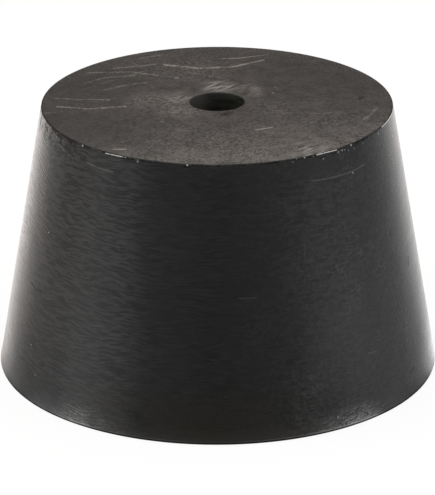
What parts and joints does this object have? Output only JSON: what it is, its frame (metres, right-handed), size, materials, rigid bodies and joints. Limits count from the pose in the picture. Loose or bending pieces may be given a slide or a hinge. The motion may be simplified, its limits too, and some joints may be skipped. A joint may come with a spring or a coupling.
{
  "type": "rubber stopper",
  "caption": "Black rubber laboratory stopper: a solid tapered plug with a straight central hole that grips a glass tube or thermometer while the wall seals a vessel's neck.",
  "frame": {"origin": "centre of the large end, on the surface that the stopper stands on", "axes": "+Z along the hole, from the large end to the small end; the body is turned about Z, so X and Y are free"},
  "size_m": [0.041, 0.041, 0.0254],
  "materials": {
    "black_rubber": "moulded black rubber, satin wall with fine sideways grain, duller ends with a pale bloom"
  },
  "bodies": {
    "root": {"stopper": "black_rubber"}
  },
  "joints": []
}
